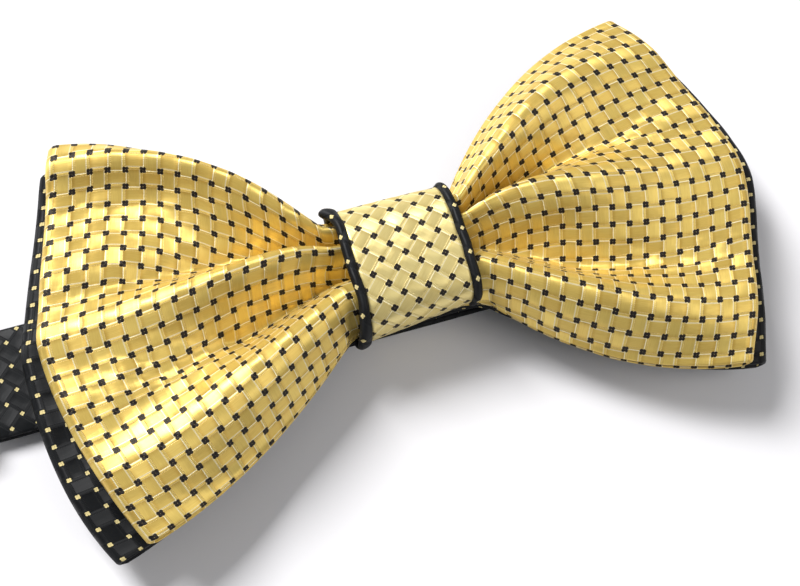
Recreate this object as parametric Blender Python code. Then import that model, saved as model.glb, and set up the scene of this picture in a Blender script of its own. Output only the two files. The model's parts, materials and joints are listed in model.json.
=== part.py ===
"""Pre-tied two-tone bow tie, lying face up with its neckband folded flat beneath it.

Frame: +X along the bow to its right wing, +Y to its top edge, +Z out of its front.
The origin is on the surface that the tie lies on, under the middle of the knot.
Written in millimetres and turned into metres when each mesh is made.
"""
import math

import bpy

MM = 0.001

# ---- driving dimensions, in millimetres -------------------------------------------------
GAP = 0.3                    # clearance between pieces that touch

STRAP_WIDTH = 18.0           # neckband
STRAP_THICK = 1.3
STRAP_WALL = 0.25            # cloth of the neckband's sleeve
INTERFACING_THICK = 0.4
FOLD_RIGHT_X = 45.0          # where the neckband turns under the right wing
FOLD_LEFT_X = -180.0         # where it turns back, left of the bow
FOLD_CLEAR = 0.5             # a run ends this far from its fold's axis
EYE_X = -84.0                # bar of the eye
HOOK_X = -110.0              # bar of the hook
SLIDER_X = -127.0            # middle bar of the slider
METAL = 1.0                  # thickness of the metal fittings
WRAP_CLEAR = 0.35            # between a bar and the strap wrapped round it

KNOT_HALF_WIDTH = 8.7        # gold band, along X
KNOT_HALF_HEIGHT = 11.2      # gold band, along Y
BAND_THICK = 0.5             # gold band cloth
UNDERBAND_THICK = 0.4
BEAD_X = 9.6                 # rolled black edge on each side of the gold band
BEAD_RADIUS = 0.8
BEAD_LIFT = 0.45             # middle of the bead over the underband
KNOT_LAYER_GAP = 0.25        # between the knot's wrapped layers
KNOT_CORNER = 4.5            # rounding of the band where it turns over the bow's edges
KNOT_BACK_CORNER = 1.2       # tighter rounding at the back, beside the neckband
PAD_THICK = 0.5              # interlining under the knot's front
PAD_HALF = 6.0
THREAD = 0.35                # lashing thread
WAIST_HALF_LENGTH = 10.0
WAIST_HALF_HEIGHT = 8.3

STRIP_THICK = 1.3            # one folded strip of the bow: cloth, interlining, cloth
CLOTH = 0.25
BOW_LINING = 0.3
EDGE_WALL = 0.6              # cloth at the strip's long folded edges
WING_ROOT_X = 11.8
WING_ROOT_HALF = 10.2        # half height of a wing beside the knot
PLEAT_ROOT = 1.7             # pleat depth either side of the middle, beside the knot
PLEAT_EXTRA = 1.6
PLEAT_END = 0.8
EXTRA_POWER = 12             # keeps a bow's extra length near its end, past the shared pleats
LOOP_ROOT = 0.3              # room inside the folded loop, beside the knot
LOOP_END = 2.6
PLEAT_COUNT = 3              # ridges across a wing
FLARE_POWER = 2.1            # how soon a wing opens out from the knot
TIP_POWER = 1.4              # how pointed a wing's end is
FRONT_END_X, FRONT_CORNER_X, FRONT_HALF = 60.8, 51.2, 34.3
REAR_END_X, REAR_CORNER_X, REAR_HALF = 64.6, 55.2, 34.0
STACK_END_Z = 7.6            # middle of both bows at a wing's end
BOW_GAP_END = 1.4            # room between the two bows there
END_CROWN = 3.4              # rise of a wing's end over the neckband, middle against corners

# ---- heights through the knot, stacked up from the supporting surface -------------------
LOWER_RUN_Z = STRAP_THICK / 2
BAND_BACK_Z = STRAP_THICK + 2 * GAP
UNDERBAND_BACK_Z = BAND_BACK_Z + BAND_THICK + KNOT_LAYER_GAP
KNOT_STRAP_Z = UNDERBAND_BACK_Z + UNDERBAND_THICK + KNOT_LAYER_GAP + STRAP_THICK / 2
LASHING_BOTTOM_Z = KNOT_STRAP_Z + STRAP_THICK / 2 + GAP
BUNDLE_BOTTOM_Z = LASHING_BOTTOM_Z + THREAD + GAP
BOW_ROOT_THICK = 2 * STRIP_THICK + LOOP_ROOT
REAR_ROOT_Z = BUNDLE_BOTTOM_Z + PLEAT_ROOT + BOW_ROOT_THICK / 2
FRONT_ROOT_Z = REAR_ROOT_Z + BOW_ROOT_THICK + GAP
BUNDLE_TOP_Z = FRONT_ROOT_Z + PLEAT_ROOT + BOW_ROOT_THICK / 2
LASHING_TOP_Z = BUNDLE_TOP_Z + GAP + THREAD
PAD_Z = LASHING_TOP_Z + GAP
UNDERBAND_TOP_Z = PAD_Z + PAD_THICK + KNOT_LAYER_GAP + UNDERBAND_THICK
BAND_TOP_Z = UNDERBAND_TOP_Z + KNOT_LAYER_GAP + BAND_THICK

# ---- heights of the neckband's runs ------------------------------------------------------
UPPER_RUN_Z = STRAP_THICK * 1.5 + GAP                       # beside the knot, on the lower run
TAIL_Z = UPPER_RUN_Z                                        # tail under the slider
SLIDER_BAR_Z = TAIL_Z + STRAP_THICK / 2 + WRAP_CLEAR + METAL / 2
WRAP_TOP_Z = SLIDER_BAR_Z + METAL / 2 + WRAP_CLEAR + STRAP_THICK / 2
HOOK_RUN_Z = WRAP_TOP_Z + STRAP_THICK + GAP
SLIDER_TOP_Z = HOOK_RUN_Z + STRAP_THICK / 2 + GAP + METAL
EYE_LOOP_RADIUS = 1.5
HOOK_LOOP_RADIUS = (HOOK_RUN_Z - TAIL_Z) / 2

PLEAT_STEPS = 12             # cloth facets across a wing
PANEL_STEPS = 6              # along one panel of a wing
LOOP_STEPS = 4               # round the folded end of a wing

COLOURS = {
    "gold_satin": ((0.80, 0.58, 0.20), 0.38, 0.0),
    "black_satin": ((0.012, 0.013, 0.016), 0.42, 0.0),
    "interlining": ((0.82, 0.80, 0.74), 0.90, 0.0),
    "thread": ((0.015, 0.015, 0.018), 0.60, 0.0),
    "nickel": ((0.72, 0.71, 0.69), 0.22, 1.0),
}


# ---- helpers -----------------------------------------------------------------------------
def material(name):
    """The Principled material of that name, made once."""
    if name in bpy.data.materials:
        return bpy.data.materials[name]
    colour, roughness, metallic = COLOURS[name]
    made = bpy.data.materials.new(name)
    made.use_nodes = True
    shader = made.node_tree.nodes["Principled BSDF"]
    shader.inputs["Base Color"].default_value = (*colour, 1.0)
    shader.inputs["Roughness"].default_value = roughness
    shader.inputs["Metallic"].default_value = metallic
    return made


def add_mesh(name, points, faces, slot, smooth=True):
    """One object from points in millimetres."""
    mesh = bpy.data.meshes.new(name)
    mesh.from_pydata([tuple(MM * c for c in point) for point in points], [], faces)
    mesh.validate()
    if smooth:
        mesh.shade_smooth()
        mesh.set_sharp_from_angle(angle=math.radians(40))
    mesh.materials.append(material(slot))
    made = bpy.data.objects.new(name, mesh)
    bpy.context.collection.objects.link(made)
    return made


def tube_faces(stations, around, first=0, outward=True, closed=False):
    """Triangles joining rings of points, each ring `around` points long."""
    faces = []
    for i in range(stations if closed else stations - 1):
        for j in range(around):
            a = first + i * around + j
            b = first + i * around + (j + 1) % around
            c = first + ((i + 1) % stations) * around + (j + 1) % around
            d = first + ((i + 1) % stations) * around + j
            pair = [(a, b, c), (a, c, d)]
            faces += pair if outward else [face[::-1] for face in pair]
    return faces


def strip_caps(last, half, flip):
    """Triangles that close a flat ring whose second half runs back along its first."""
    faces = []
    for j in range(half - 1):
        a, b = last + j, last + j + 1
        c, d = last + 2 * half - 2 - j, last + 2 * half - 1 - j
        pair = [(a, b, c), (a, c, d)]
        faces += [face[::-1] for face in pair] if flip else pair
    return faces


def fix_outward(made):
    """Turn all faces over if the closed mesh is inside out."""
    volume = 0.0
    vertices = made.data.vertices
    for face in made.data.polygons:
        corner = [vertices[i].co for i in face.vertices]
        for k in range(1, len(corner) - 1):
            volume += corner[0].dot(corner[k].cross(corner[k + 1]))
    if volume < 0:
        made.data.flip_normals()


# ---- the bow's wings -----------------------------------------------------------------------
class Wing:
    """One side of one bow: a strip folded back on itself at the wing's end."""

    def __init__(self, side, end_x, corner_x, half, root_z, end_z):
        self.side, self.half = side, half
        self.end_x, self.corner_x = end_x, corner_x
        self.root_z, self.end_z = root_z, end_z

    def loop_room(self, s):
        return LOOP_ROOT + (LOOP_END - LOOP_ROOT) * s

    def half_height(self, s, end_half):
        return WING_ROOT_HALF + (end_half - WING_ROOT_HALF) * (1 - (1 - s) ** FLARE_POWER)

    def pleat_depth(self, s):
        swell = PLEAT_EXTRA * math.sin(math.pi * s) * (1 - s)
        return PLEAT_ROOT + (PLEAT_END - PLEAT_ROOT) * s + swell

    def point(self, s, angle, v, offset, edge):
        """s along the wing, angle round the loop's end, v across, offset in the strip."""
        half = self.half_height(s, self.half)
        limit = 1 - edge / half
        v = max(-limit, min(limit, v))
        reach = self.loop_room(s) / 2 + offset
        shared = FRONT_END_X - (FRONT_END_X - FRONT_CORNER_X) * abs(v) ** TIP_POWER
        own = self.end_x - (self.end_x - self.corner_x) * abs(v) ** TIP_POWER
        run = shared - LOOP_END / 2 - STRIP_THICK - WING_ROOT_X
        x = WING_ROOT_X + run * s + (own - shared) * s ** EXTRA_POWER + reach * math.cos(angle)
        y = v * half
        phase = PLEAT_COUNT * math.pi * y / self.half_height(s, FRONT_HALF)
        z = self.root_z + (self.end_z - self.root_z) * s + END_CROWN * s * s * (1 - v * v)
        z += self.pleat_depth(s) * math.cos(phase) + reach * math.sin(angle)
        return self.side * x, y, z

    def stations(self):
        quarter = math.pi / 2
        front = [(i / PANEL_STEPS, quarter) for i in range(PANEL_STEPS)]
        turn = [(1.0, quarter - math.pi * i / LOOP_STEPS) for i in range(LOOP_STEPS + 1)]
        rear = [(1 - i / PANEL_STEPS, -quarter) for i in range(1, PANEL_STEPS + 1)]
        return front + turn + rear

    def rings(self, inner, outer, edge):
        """A ring of points round the strip's section at each station."""
        points = []
        values = [-1 + 2 * j / PLEAT_STEPS for j in range(PLEAT_STEPS + 1)]
        for s, angle in self.stations():
            points += [self.point(s, angle, v, outer, edge) for v in values]
            points += [self.point(s, angle, v, inner, edge) for v in reversed(values)]
        return points


def bow_sleeve(name, wing, slot):
    """The cloth of a wing: a flat sleeve, open at its two roots, folded round the end."""
    count, around = len(wing.stations()), 2 * (PLEAT_STEPS + 1)
    points = wing.rings(0.0, STRIP_THICK, 0.0)
    points += wing.rings(CLOTH, STRIP_THICK - CLOTH, EDGE_WALL)
    inner = count * around
    faces = tube_faces(count, around) + tube_faces(count, around, first=inner, outward=False)
    for j in range(around):
        k = (j + 1) % around
        faces += [(j, inner + k, k), (j, inner + j, inner + k)]
        a, b = inner - around + j, inner - around + k
        faces += [(a, b, inner + b), (a, inner + b, inner + a)]
    fix_outward(add_mesh(name, points, faces, slot))


def bow_lining(name, wing):
    """The stiffening strip inside a wing's sleeve."""
    count, around = len(wing.stations()), 2 * (PLEAT_STEPS + 1)
    start = (STRIP_THICK - BOW_LINING) / 2
    points = wing.rings(start, start + BOW_LINING, EDGE_WALL + GAP)
    faces = tube_faces(count, around)
    faces += strip_caps(0, PLEAT_STEPS + 1, flip=True)
    faces += strip_caps((count - 1) * around, PLEAT_STEPS + 1, flip=False)
    fix_outward(add_mesh(name, points, faces, "interlining"))


def bow_waist(name, middle_z, slot):
    """The pleated middle of a bow, gathered inside the knot."""
    steps = 4
    points = []
    values = [-1 + 2 * j / PLEAT_STEPS for j in range(PLEAT_STEPS + 1)]
    for i in range(steps + 1):
        x = WAIST_HALF_LENGTH * (2 * i / steps - 1)
        for sign, row in ((1, values), (-1, values[::-1])):
            for v in row:
                z = middle_z + PLEAT_ROOT * math.cos(PLEAT_COUNT * math.pi * v)
                points.append((x, v * WAIST_HALF_HEIGHT, z + sign * BOW_ROOT_THICK / 2))
    around = 2 * (PLEAT_STEPS + 1)
    faces = tube_faces(steps + 1, around)
    faces += strip_caps(0, PLEAT_STEPS + 1, flip=True)
    faces += strip_caps(steps * around, PLEAT_STEPS + 1, flip=False)
    fix_outward(add_mesh(name, points, faces, slot))


def build_bows():
    half_stack = (2 * STRIP_THICK + LOOP_END + BOW_GAP_END) / 2
    bows = {
        "front": (FRONT_END_X, FRONT_CORNER_X, FRONT_HALF, FRONT_ROOT_Z,
                  STACK_END_Z + half_stack, "gold_satin"),
        "rear": (REAR_END_X, REAR_CORNER_X, REAR_HALF, REAR_ROOT_Z,
                 STACK_END_Z - half_stack, "black_satin"),
    }
    for bow, (end_x, corner_x, half, root_z, end_z, slot) in bows.items():
        for side, word in ((-1, "left"), (1, "right")):
            wing = Wing(side, end_x, corner_x, half, root_z, end_z)
            bow_sleeve(f"{bow}_bow_{word}", wing, slot)
            bow_lining(f"{bow}_interlining_{word}", wing)
        bow_waist(f"{bow}_bow_waist", root_z, slot)


# ---- the knot --------------------------------------------------------------------------------
def rounded_loop(half_y, bottom, top, top_radius, bottom_radius, arc_steps=4):
    """Points (y, z) anticlockwise round a rounded rectangle."""
    loop = []
    corners = ((1, 1, top_radius, 0), (-1, 1, top_radius, 90),
               (-1, -1, bottom_radius, 180), (1, -1, bottom_radius, 270))
    for side, end, radius, start in corners:
        y = side * (half_y - radius)
        z = top - radius if end > 0 else bottom + radius
        for i in range(arc_steps + 1):
            angle = math.radians(start + 90 * i / arc_steps)
            loop.append((y + radius * math.cos(angle), z + radius * math.sin(angle)))
    return loop


def band_ring(name, profile, half_y, bottom, top, slot):
    """A closed band round the bow; profile gives (x, height over the band's inner side)."""
    points = []
    for x, height in profile:
        loop = rounded_loop(half_y + height, bottom - height, top + height,
                            KNOT_CORNER + height, KNOT_BACK_CORNER + height)
        points += [(x, y, z) for y, z in loop]
    around = len(points) // len(profile)
    fix_outward(add_mesh(name, points, tube_faces(len(profile), around, closed=True), slot))


def underband_profile():
    """Flat in the middle, with a rolled bead along each edge, then back along the inside."""
    bead = half_turn(BEAD_X, BEAD_LIFT, BEAD_RADIUS, 0, 180, steps=4)
    right = [(BEAD_X + 0.6, 0.0)] + bead
    left = [(-x, height) for x, height in reversed(right)]
    return right + left + [(-BEAD_X + 1.5, 0.0), (BEAD_X - 1.5, 0.0)]


def wound_thread(name, half_y, bottom, top, turns, pitch):
    """Thread lashed round the gathered bows: a helix on a rounded rectangle."""
    loop = rounded_loop(half_y, bottom, top, 1.0, 1.0, arc_steps=3)
    curve = bpy.data.curves.new(name, "CURVE")
    curve.dimensions = "3D"
    curve.bevel_depth = MM * THREAD / 2
    curve.bevel_resolution = 0
    curve.use_fill_caps = True
    spline = curve.splines.new("POLY")
    total = turns * len(loop)
    spline.points.add(total)
    for i in range(total + 1):
        y, z = loop[i % len(loop)]
        x = pitch * (i / len(loop) - turns / 2)
        spline.points[i].co = (MM * x, MM * y, MM * z, 1.0)
    curve.materials.append(material("thread"))
    bpy.context.collection.objects.link(bpy.data.objects.new(name, curve))


def stitch_line(name, centre, length, width, count, axis="x"):
    """A row of zigzag stitches, lying flat on the cloth that it closes."""
    curve = bpy.data.curves.new(name, "CURVE")
    curve.dimensions = "3D"
    curve.bevel_depth = MM * 0.14
    curve.bevel_resolution = 0
    curve.use_fill_caps = True
    spline = curve.splines.new("POLY")
    spline.points.add(count)
    for i in range(count + 1):
        along = length * (i / count - 0.5)
        across = width * (0.5 if i % 2 else -0.5)
        x, y = (along, across) if axis == "x" else (across, along)
        spline.points[i].co = (MM * (centre[0] + x), MM * (centre[1] + y), MM * centre[2], 1.0)
    curve.materials.append(material("thread"))
    bpy.context.collection.objects.link(bpy.data.objects.new(name, curve))


def build_knot():
    inner_half = KNOT_HALF_HEIGHT - BAND_THICK
    band_bottom = BAND_BACK_Z + BAND_THICK
    flat = [(KNOT_HALF_WIDTH, 0.0), (KNOT_HALF_WIDTH, BAND_THICK),
            (-KNOT_HALF_WIDTH, BAND_THICK), (-KNOT_HALF_WIDTH, 0.0)]
    band_ring("knot_band", flat, inner_half, band_bottom, BAND_TOP_Z - BAND_THICK, "gold_satin")
    under_half = inner_half - KNOT_LAYER_GAP - UNDERBAND_THICK
    under_bottom = UNDERBAND_BACK_Z + UNDERBAND_THICK
    under_top = UNDERBAND_TOP_Z - UNDERBAND_THICK
    outline = underband_profile()
    band_ring("knot_underband", outline, under_half, under_bottom, under_top, "black_satin")
    pad = [(-PAD_HALF, -PAD_HALF), (PAD_HALF, -PAD_HALF), (PAD_HALF, PAD_HALF), (-PAD_HALF, PAD_HALF)]
    prism("knot_interlining", pad, PAD_Z, PAD_Z + PAD_THICK, "interlining")
    wound_thread("lashing_thread", WAIST_HALF_HEIGHT + 0.6, LASHING_BOTTOM_Z + THREAD / 2,
                 LASHING_TOP_Z - THREAD / 2, turns=5, pitch=1.1)
    stitch_line("knot_closing_stitches", (0.0, 0.0, BAND_BACK_Z - 0.22), 2 * KNOT_HALF_WIDTH - 1,
                2.0, 12)


# ---- the neckband ------------------------------------------------------------------------------
def offset_path(path, distance):
    """The path (x, z) moved sideways, with mitred corners."""
    moved = []
    for i, (x, z) in enumerate(path):
        before = path[max(i - 1, 0)]
        after = path[min(i + 1, len(path) - 1)]
        first = math.atan2(z - before[1], x - before[0]) if i else None
        second = math.atan2(after[1] - z, after[0] - x) if i < len(path) - 1 else None
        first = second if first is None else first
        second = first if second is None else second
        turn = math.remainder(second - first, math.tau)
        middle = first + turn / 2 + math.pi / 2
        reach = distance / math.cos(turn / 2)
        moved.append((x + reach * math.cos(middle), z + reach * math.sin(middle)))
    return moved


def strip_rings(path, width, thick):
    """Four corners round the strap's section at each point of its path."""
    upper, lower = offset_path(path, thick / 2), offset_path(path, -thick / 2)
    points = []
    for (xu, zu), (xl, zl) in zip(upper, lower):
        points += [(xu, -width / 2, zu), (xu, width / 2, zu), (xl, width / 2, zl), (xl, -width / 2, zl)]
    return points


def strap_sleeve(name, path):
    """A neckband run: a flat cloth tube, open at its ends."""
    count = len(path)
    points = strip_rings(path, STRAP_WIDTH, STRAP_THICK)
    points += strip_rings(path, STRAP_WIDTH - 2 * STRAP_WALL, STRAP_THICK - 2 * STRAP_WALL)
    inner = 4 * count
    faces = tube_faces(count, 4) + tube_faces(count, 4, first=inner, outward=False)
    for j in range(4):
        k = (j + 1) % 4
        faces += [(j, inner + k, k), (j, inner + j, inner + k)]
        a, b = inner - 4 + j, inner - 4 + k
        faces += [(a, b, inner + b), (a, inner + b, inner + a)]
    fix_outward(add_mesh(name, points, faces, "black_satin", smooth=False))


def strap_solid(name, path, width, thick, slot):
    """A solid strip along a path."""
    count = len(path)
    faces = tube_faces(count, 4) + [(3, 2, 1, 0)]
    faces.append(tuple(4 * count - 4 + j for j in range(4)))
    made = add_mesh(name, strip_rings(path, width, thick), faces, slot, smooth=False)
    fix_outward(made)
    return made


def half_turn(x, z, radius, start, sweep, steps=6):
    """Points on an arc about (x, z), angles in degrees."""
    angles = [math.radians(start + sweep * i / steps) for i in range(steps + 1)]
    return [(x + radius * math.cos(a), z + radius * math.sin(a)) for a in angles]


def build_neckband():
    eye_z = UPPER_RUN_Z + EYE_LOOP_RADIUS
    turn = half_turn(EYE_X, eye_z, EYE_LOOP_RADIUS, 90, 180)
    knot_run = [(EYE_X + 11, eye_z + EYE_LOOP_RADIUS)] + turn
    knot_run += [(-20.0, UPPER_RUN_Z), (-12.5, KNOT_STRAP_Z), (12.5, KNOT_STRAP_Z),
                 (20.0, UPPER_RUN_Z), (FOLD_RIGHT_X - FOLD_CLEAR, UPPER_RUN_Z)]
    lower_run = [(FOLD_LEFT_X + FOLD_CLEAR, LOWER_RUN_Z), (FOLD_RIGHT_X - FOLD_CLEAR, LOWER_RUN_Z)]
    hook_z = (HOOK_RUN_Z + TAIL_Z) / 2
    hook_run = [(FOLD_LEFT_X + FOLD_CLEAR, HOOK_RUN_Z)]
    hook_run += half_turn(HOOK_X, hook_z, HOOK_LOOP_RADIUS, 90, -180)
    hook_run.append((HOOK_X - 3.0, TAIL_Z))
    strap_sleeve("neckband_knot_run", knot_run)
    strap_sleeve("neckband_lower_run", lower_run)
    strap_sleeve("neckband_hook_run", hook_run)
    wrap = half_turn(SLIDER_X, SLIDER_BAR_Z, SLIDER_BAR_Z - TAIL_Z, 270, -180)
    tail = [(HOOK_X - 3.4, TAIL_Z)] + wrap + [(SLIDER_X + 9.0, WRAP_TOP_Z)]
    strap_solid("neckband_tail", tail, STRAP_WIDTH, STRAP_THICK, "black_satin")
    core_width = STRAP_WIDTH - 2 * STRAP_WALL - 2 * GAP
    for name, path in (("knot", knot_run[8:]), ("lower", lower_run), ("hook", hook_run[:2])):
        strap_solid(f"neckband_interfacing_{name}", path, core_width, INTERFACING_THICK,
                    "interlining")
    tack_z = eye_z + EYE_LOOP_RADIUS + STRAP_THICK / 2 + 0.2
    stitch_line("eye_bartack", (EYE_X + 8.0, 0.0, tack_z), STRAP_WIDTH - 4, 2.4, 14, axis="y")


# ---- metal fittings --------------------------------------------------------------------------
def prism(name, outline, low, high, slot="nickel"):
    """A flat plate with its outline (x, y) between two heights."""
    count = len(outline)
    points = [(x, y, z) for z in (low, high) for x, y in outline]
    faces = [tuple(range(count - 1, -1, -1)), tuple(range(count, 2 * count))]
    faces += [(j, (j + 1) % count, (j + 1) % count + count, j + count) for j in range(count)]
    made = add_mesh(name, points, faces, slot, smooth=False)
    fix_outward(made)
    return made


def rounded_outline(x_low, x_high, half_y, radius, steps=4):
    """A rectangle with rounded corners, anticlockwise."""
    outline = []
    corners = ((x_high - radius, half_y - radius, 0), (x_low + radius, half_y - radius, 90),
               (x_low + radius, radius - half_y, 180), (x_high - radius, radius - half_y, 270))
    for x, y, start in corners:
        outline += half_turn(x, y, radius, start, 90, steps)
    return outline


def combine(target, other, operation):
    """Boolean the other object into the target, and hide it as a guide."""
    cut = target.modifiers.new(other.name, "BOOLEAN")
    cut.operation = operation
    cut.object = other
    other.hide_render = True
    other.display_type = "WIRE"


def slotted_plate(name, x_low, x_high, half_y, slots, middle_z):
    """A metal plate with rounded slots, each (x_low, x_high, half_y)."""
    plate = prism(name, rounded_outline(x_low, x_high, half_y, 1.6),
                  middle_z - METAL / 2, middle_z + METAL / 2)
    for number, (low, high, half) in enumerate(slots):
        cutter = prism(f"{name}_slot_{number}", rounded_outline(low, high, half, 0.8),
                       middle_z - METAL, middle_z + METAL)
        combine(plate, cutter, "DIFFERENCE")
    return plate


def build_eye():
    middle_z = UPPER_RUN_Z + EYE_LOOP_RADIUS
    slots = [(EYE_X - 4.2, EYE_X - METAL / 2, 9.4), (EYE_X - 10.2, EYE_X - 5.7, 5.5)]
    slotted_plate("eye_plate", EYE_X - 11.8, EYE_X + METAL / 2, 11.0, slots, middle_z)


def build_hook():
    middle_z = (HOOK_RUN_Z + TAIL_Z) / 2
    slots = [(HOOK_X + METAL / 2, HOOK_X + 4.6, 9.4)]
    plate = slotted_plate("hook_plate", HOOK_X - METAL / 2, HOOK_X + 6.4, 11.0, slots, middle_z)
    bend = half_turn(HOOK_X + 10.2, middle_z + 1.3, 1.3, -90, 180)
    path = [(HOOK_X + 5.6, middle_z)] + bend + [(HOOK_X + 7.6, middle_z + 2.6)]
    combine(plate, strap_solid("hook_tongue", path, 7.0, METAL * 0.9, "nickel"), "UNION")


def build_slider():
    """A three-bar slide: outer bars over the strap, middle bar under it."""
    rail_low, rail_high, half_length = 9.5, 10.9, 6.5
    points = [(-half_length, SLIDER_TOP_Z), (half_length, SLIDER_TOP_Z),
              (half_length, SLIDER_TOP_Z - METAL), (1.2, SLIDER_BAR_Z - METAL / 2),
              (-1.2, SLIDER_BAR_Z - METAL / 2), (-half_length, SLIDER_TOP_Z - METAL)]
    bars = []
    for x_low, x_high, low in ((-half_length, -half_length + 1.3, SLIDER_TOP_Z - METAL),
                               (half_length - 1.3, half_length, SLIDER_TOP_Z - METAL),
                               (-METAL / 2, METAL / 2, SLIDER_BAR_Z - METAL / 2)):
        outline = [(SLIDER_X + x_low, -10.2), (SLIDER_X + x_high, -10.2),
                   (SLIDER_X + x_high, 10.2), (SLIDER_X + x_low, 10.2)]
        bars.append((outline, low))
    rails = []
    for side in (-1, 1):
        name = "slider_frame" if side < 0 else "slider_rail"
        ring = [(SLIDER_X + x, side * y, z) for y in (rail_low, rail_high) for x, z in points]
        count = len(points)
        faces = [tuple(range(count - 1, -1, -1)), tuple(range(count, 2 * count))]
        faces += [(j, (j + 1) % count, (j + 1) % count + count, j + count) for j in range(count)]
        rail = add_mesh(name, ring, faces, "nickel", smooth=False)
        fix_outward(rail)
        rails.append(rail)
    for number, (outline, low) in enumerate(bars):
        combine(rails[0], prism(f"slider_bar_{number}", outline, low, low + METAL), "UNION")
    combine(rails[0], rails[1], "UNION")


def main():
    for old in list(bpy.data.objects):
        bpy.data.objects.remove(old)
    build_bows()
    build_knot()
    build_neckband()
    build_eye()
    build_hook()
    build_slider()


main()
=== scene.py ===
"""Looks of the pre-tied two-tone bow tie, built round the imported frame.

Lengths are in millimetres until a mesh is made. +X runs along the bow, +Y to its top edge and
+Z out of its front, as in the frame.
"""
import json
import math
from typing import NamedTuple

import bpy
import numpy as np
from mathutils import Matrix, Vector, noise


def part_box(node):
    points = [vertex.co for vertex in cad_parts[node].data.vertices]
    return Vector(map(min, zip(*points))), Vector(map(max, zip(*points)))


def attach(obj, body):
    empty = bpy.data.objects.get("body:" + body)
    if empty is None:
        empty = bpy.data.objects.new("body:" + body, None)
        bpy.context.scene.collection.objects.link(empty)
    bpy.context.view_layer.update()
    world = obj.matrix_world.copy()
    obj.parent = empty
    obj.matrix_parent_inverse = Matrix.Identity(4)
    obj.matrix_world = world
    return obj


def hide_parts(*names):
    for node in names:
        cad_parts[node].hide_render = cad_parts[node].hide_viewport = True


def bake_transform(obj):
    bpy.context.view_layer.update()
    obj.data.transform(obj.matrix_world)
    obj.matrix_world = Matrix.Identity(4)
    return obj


MM = 0.001

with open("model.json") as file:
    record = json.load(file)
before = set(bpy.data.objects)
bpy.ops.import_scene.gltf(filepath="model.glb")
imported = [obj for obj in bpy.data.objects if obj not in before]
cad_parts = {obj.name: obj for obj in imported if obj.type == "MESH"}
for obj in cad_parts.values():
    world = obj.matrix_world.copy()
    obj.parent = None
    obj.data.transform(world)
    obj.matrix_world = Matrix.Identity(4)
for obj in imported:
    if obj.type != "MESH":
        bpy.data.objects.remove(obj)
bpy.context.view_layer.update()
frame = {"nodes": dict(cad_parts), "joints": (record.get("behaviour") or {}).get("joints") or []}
JOINTS = {joint["name"]: joint for joint in frame["joints"]}


def joint_mm(name):
    """Where a hinge sits, in millimetres."""
    return [c / MM for c in JOINTS[name]["pos_m"]]


def box_mm(node):
    """Lowest and highest corner of a CAD node, in millimetres."""
    low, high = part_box(node)
    return [c / MM for c in low], [c / MM for c in high]


# ---- sizes -------------------------------------------------------------------------------------
PITCH = 2.93                       # one repeat of the weave
ROOT_X = joint_mm("front_right_bend")[0]
KNOT_LOW, KNOT_HIGH = box_mm("knot_band")
BEAD_REACH = box_mm("knot_underband")[1][0]
STRAP_LOW, STRAP_HIGH = box_mm("neckband_lower_run")
STRAP_THICK = STRAP_HIGH[2] - STRAP_LOW[2]
STRAP_WIDTH = STRAP_HIGH[1] - STRAP_LOW[1]
ROOT_HALF = 10.2                   # half height of a wing beside the knot
WAIST_HALF = 8.4                   # and inside it
WAIST_S = -0.24                    # the waist's middle, as a share of a wing's length
CLOTH_HALF = 35.2                  # half the strip's width, laid flat
LADDER = 0.19                      # width of a ladder stitch, in repeats of the weave
ROOT_THICK = 0.42                  # the cloth of a wing, beside the knot
END_THICK = 0.90                   # and at its end
LINING_THICK = 0.3                 # the interlining's, as a share of the cloth round it
LOOP_FLAT = 0.8                    # depth of a wing's folded end, as a share of a half round

PANEL_ROWS = 62                    # mesh rows along a front panel
LOOP_ROWS = 9
LINING_START = 14                  # rows from the root to where the interlining begins
BACK_ROWS = 30
ACROSS = 84                        # mesh columns across a wing
EDGE_POINTS = 3                    # mesh points round each edge of a strip

KNOT_HALF = 11.0                   # half height of the knot at its fullest
KNOT_SKEW = 0.12                   # its lower side draws in toward the right
KNOT_POINTS = 96
BAND_INSET = 0.1                   # from the knot's outline to the gold band
BAND_THICK = 0.45
BAND_OVERLAP = 0.1                 # the band goes this far under each rolled edge
BEAD_RADIUS = 0.84                 # the underband's rolled edges
BEAD_RISE = 0.5                    # their middle stands this far off the underband
UNDERBAND_INSET = 0.75             # from the knot's outline to the underband
UNDERBAND_FACE = -0.15             # height of its inner face

STRAP_COLUMNS = 13
PATH_STEP = 1.2                    # between the points of a neckband run
ARC_STEPS = 14
KNOT_LEVEL_X = 12.5                # nearer than this the strap lies at the knot's level
RUN_LEVEL_X = 20.0                 # and further out than this at its own
KNOT_FLOOR = 2.05                  # from the knot's back to the strap's middle inside it
EYE_HEM = 13.0                     # from the run's left end to where its folded hem stops
BAR_RISE = 0.5                     # the slider's middle bar above the frame's lowest face
TAIL_GAP = 3.0                     # the tail starts this far left of the hook's hinge
TAIL_HEM = 9.0                     # and its hem ends this far right of the slider's bar


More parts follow.
